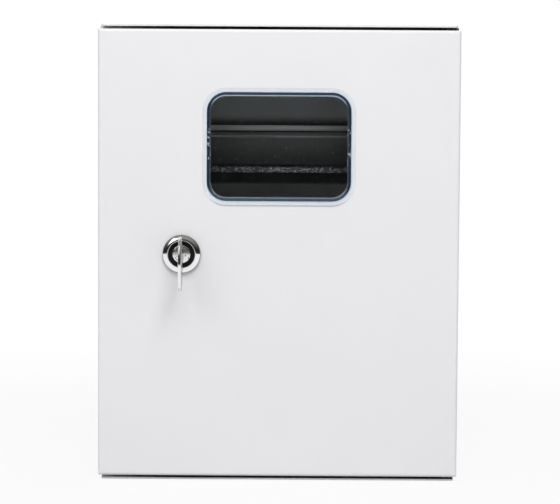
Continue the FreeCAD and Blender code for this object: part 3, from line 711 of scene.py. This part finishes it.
def threadedStuds(node, axis, radius):
    low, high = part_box(node)
    length = abs((high - low).dot(axis))
    foot, tip = studShape["foot"], studShape["tip"]
    outline = [(0, 0, 0), (radius, 0, 0), (radius, foot, 0)]
    outline += threadCorners(radius, studShape["depth"], studShape["pitch"], foot + studShape["runIn"],
                             length - tip)
    outline += [(radius - tip, length, 0), (0, length, 0)]
    bm = bmesh.new()
    for place in studFeet(node, axis, radius):
        lathe(bm, outline, place, axis, studShape["steps"])
    return addPiece(node + "_threaded", bm, node, sharp=25)


# Worn and rounded edges on the small hardware

wear = {"flatTo": 1, "sharpFrom": 32, "steps": 3}  # degrees between faces, then rows of faces
edgeWidths = {  # millimetres
    "lock_plug": 0.12, "lock_cam": 0.35, "cam_washer": 0.15, "cam_screw": 0.15,
    "lock_washer": 0.2, "lock_nut": 0.15, "upper_rail": 0.15, "lower_rail": 0.15, "rail_washers": 0.15,
    "rail_nuts": 0.2, "neutral_bar": 0.4, "earth_bar": 0.4, "neutral_screws": 0.18, "earth_screws": 0.18,
    "post_rivets": 0.15, "earth_washer": 0.2, "earth_nut": 0.12,
    "door_earth_washer": 0.2, "door_earth_nut": 0.12, "hinge_pin_top": 0.12, "hinge_pin_bottom": 0.12,
    "hinge_bush_top": 0.15, "hinge_bush_bottom": 0.15,
}


def mergedCopy(node):
    bm = bmesh.new()
    bm.from_mesh(nodes[node].data)
    bmesh.ops.remove_doubles(bm, verts=bm.verts, dist=1e-6)
    bmesh.ops.dissolve_limit(bm, angle_limit=math.radians(wear["flatTo"]), verts=bm.verts, edges=bm.edges)
    return bm


def sharpEdges(bm):
    least = math.radians(wear["sharpFrom"])
    return [edge for edge in bm.edges if edge.is_manifold and edge.calc_face_angle() > least]


def softEdged(node, width):
    bm = mergedCopy(node)
    bevel(bm, sharpEdges(bm), width * mm, wear["steps"])
    return addPiece(node + "_soft", bm, node, sharp=50)


# Key: the bow's rim is worn round, the ring hole and the blade keep their edges

keyShape = {"bowDepth": 22.6 * mm, "holeAt": 7.5 * mm, "holeR": 4.0 * mm, "bladeFrom": 25.0 * mm,
            "holeEdge": 0.35 * mm, "bowEdge": 0.95 * mm, "bladeEdge": 0.12 * mm,
            "holeSteps": 3, "bowSteps": 6, "bladeSteps": 2}


def keyZone(spot, hole, bowTip):
    fromHole = math.hypot(spot.y - hole.y, spot.z - hole.z)
    if fromHole < keyShape["holeR"]:
        return "hole"
    if spot.y - bowTip < keyShape["bowDepth"]:
        return "bow"
    return "blade" if spot.y - bowTip > keyShape["bladeFrom"] else None


def roundedKey():
    bm = mergedCopy("key")
    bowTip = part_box("key")[0].y
    hole = middleOf("key")
    hole.y = bowTip + keyShape["holeAt"]
    picked = {"hole": [], "bow": [], "blade": []}
    for edge in sharpEdges(bm):
        first, second = (keyZone(vert.co, hole, bowTip) for vert in edge.verts)
        if first == second and first in picked:
            picked[first].append(edge)
    for zone, edges in picked.items():
        bevel(bm, edges, keyShape[zone + "Edge"], keyShape[zone + "Steps"])
    return addPiece("roundedKey", bm, "key", sharp=50)


clearPane()
foamSeal()
lockHousing()
for name, (axis, radius) in studs.items():
    threadedStuds(name, axis, radius)
roundedKey()
for name, width in edgeWidths.items():
    softEdged(name, width)


# Light, floor and camera

room = {"white": (1, 1, 1, 1), "level": (0.022, 0.022, 0.020, 1), "above": (0.30, 0.30, 0.275, 1),
        "aboveFrom": (0.15, 0.95), "behind": (0.75, 0.30), "fill": (0.97, 0.98, 1.0, 1), "fillStrength": 0.42}


def studioWorld():
    f = Finish(bpy.data.worlds.new("studio"))
    direction = f.add("ShaderNodeTexCoord", out="Generated")
    along, up = (f.along(axis, direction) for axis in "YZ")
    dim = f.tint(f.between(up, *room["aboveFrom"]), room["level"], room["above"])
    mirrored = f.tint(f.between(along, *room["behind"]), room["white"], dim)  # white behind the box only
    shown = f.tint(f.ray("Camera"), mirrored, room["white"])
    white = f.add("ShaderNodeBackground", inputs={"Color": shown, "Strength": 1.0})
    soft = f.add("ShaderNodeBackground", inputs={"Color": room["fill"], "Strength": room["fillStrength"]})
    scene.world = f.show(f.mixed(f.seen(), soft, white))


ground = {"radius": 3.0, "steps": 96, "middle": -0.06, "under": 0.0002, "shade": (0.62, 0.61, 0.65, 1),
          "grainShade": (0.77, 0.76, 0.80, 1), "grain": 60, "shadowShare": 0.10, "shadowReach": (0.25, 0.80)}


def paleFloor():
    bm = bmesh.new()
    bmesh.ops.create_circle(bm, cap_ends=True, segments=ground["steps"], radius=ground["radius"])
    bmesh.ops.translate(bm, verts=bm.verts, vec=(0, ground["middle"], cadLow.z - ground["under"]))
    mesh = bpy.data.meshes.new("floor")
    bm.to_mesh(mesh)
    bm.free()
    f = newFinish("paleFloor")
    spot = f.place()
    grain = f.cloud(spot, ground["grain"], 3)
    matt = f.shader(Base_Color=f.tint(grain * 0.1, ground["shade"], ground["grainShade"]), Roughness=0.9)
    away = f.between(f.vector("LENGTH", spot, out="Value"), *ground["shadowReach"])
    plain = 1 - ground["shadowShare"] * (1 - away)  # a little of the shadow shows near the box
    glow = f.add("ShaderNodeEmission", inputs={"Color": room["white"], "Strength": 1.0})
    mesh.materials.append(f.show(f.mixed(f.seen() * plain, matt, glow)))
    floor = bpy.data.objects.new("floor", mesh)
    scene.collection.objects.link(floor)


lamps = {
    "leftBox": {"at": (-1.05, -1.45, 1.45), "size": (1.3, 1.3), "watts": 10, "colour": (1.0, 0.99, 0.97),
                "mirrored": True},
    "rightBox": {"at": (0.20, -1.45, 1.60), "size": (1.1, 1.2), "watts": 29, "colour": (1.0, 1.0, 1.0),
                 "mirrored": False},
    "backBox": {"at": (0.45, 1.90, 0.35), "size": (1.0, 1.0), "watts": 9, "colour": (1.0, 1.0, 1.0),
                "mirrored": False},
}
lampAim = Vector((0, -0.06, 0))


def softBox(name, lamp):
    light = bpy.data.lights.new(name, "AREA")
    light.shape = "RECTANGLE"
    light.size, light.size_y = lamp["size"]
    light.energy = lamp["watts"]
    light.color = lamp["colour"]
    box = bpy.data.objects.new(name, light)
    box.location = lamp["at"]
    box.rotation_euler = (lampAim - box.location).to_track_quat("-Z", "Y").to_euler()
    box.visible_transmission = False
    box.visible_glossy = lamp["mirrored"]
    scene.collection.objects.link(box)


view = {"elevation": 4.3, "azimuth": 0.1517, "roll": 0.3458, "distance": 1.58539, "lens": 141.467,
        "sensor": 36, "aim": (0.00092, -0.0625, -0.00296)}


def photoCamera():
    up, side = math.radians(view["elevation"]), math.radians(view["azimuth"])
    back = Vector((math.cos(up) * math.sin(side), -math.cos(up) * math.cos(side), math.sin(up)))
    lens = bpy.data.cameras.new("photoCamera")
    lens.lens = view["lens"]
    lens.sensor_width = view["sensor"]
    camera = bpy.data.objects.new("photoCamera", lens)
    camera.location = Vector(view["aim"]) + back * view["distance"]
    camera.rotation_mode = "QUATERNION"
    roll = Quaternion((0, 0, 1), math.radians(view["roll"]))
    camera.rotation_quaternion = (-back).to_track_quat("-Z", "Y") @ roll
    scene.collection.objects.link(camera)
    scene.camera = camera


studioWorld()
paleFloor()
for name, lamp in lamps.items():
    softBox(name, lamp)
photoCamera()
scene.view_settings.view_transform = "Standard"
print("stage set:", len(lamps), "lamps")
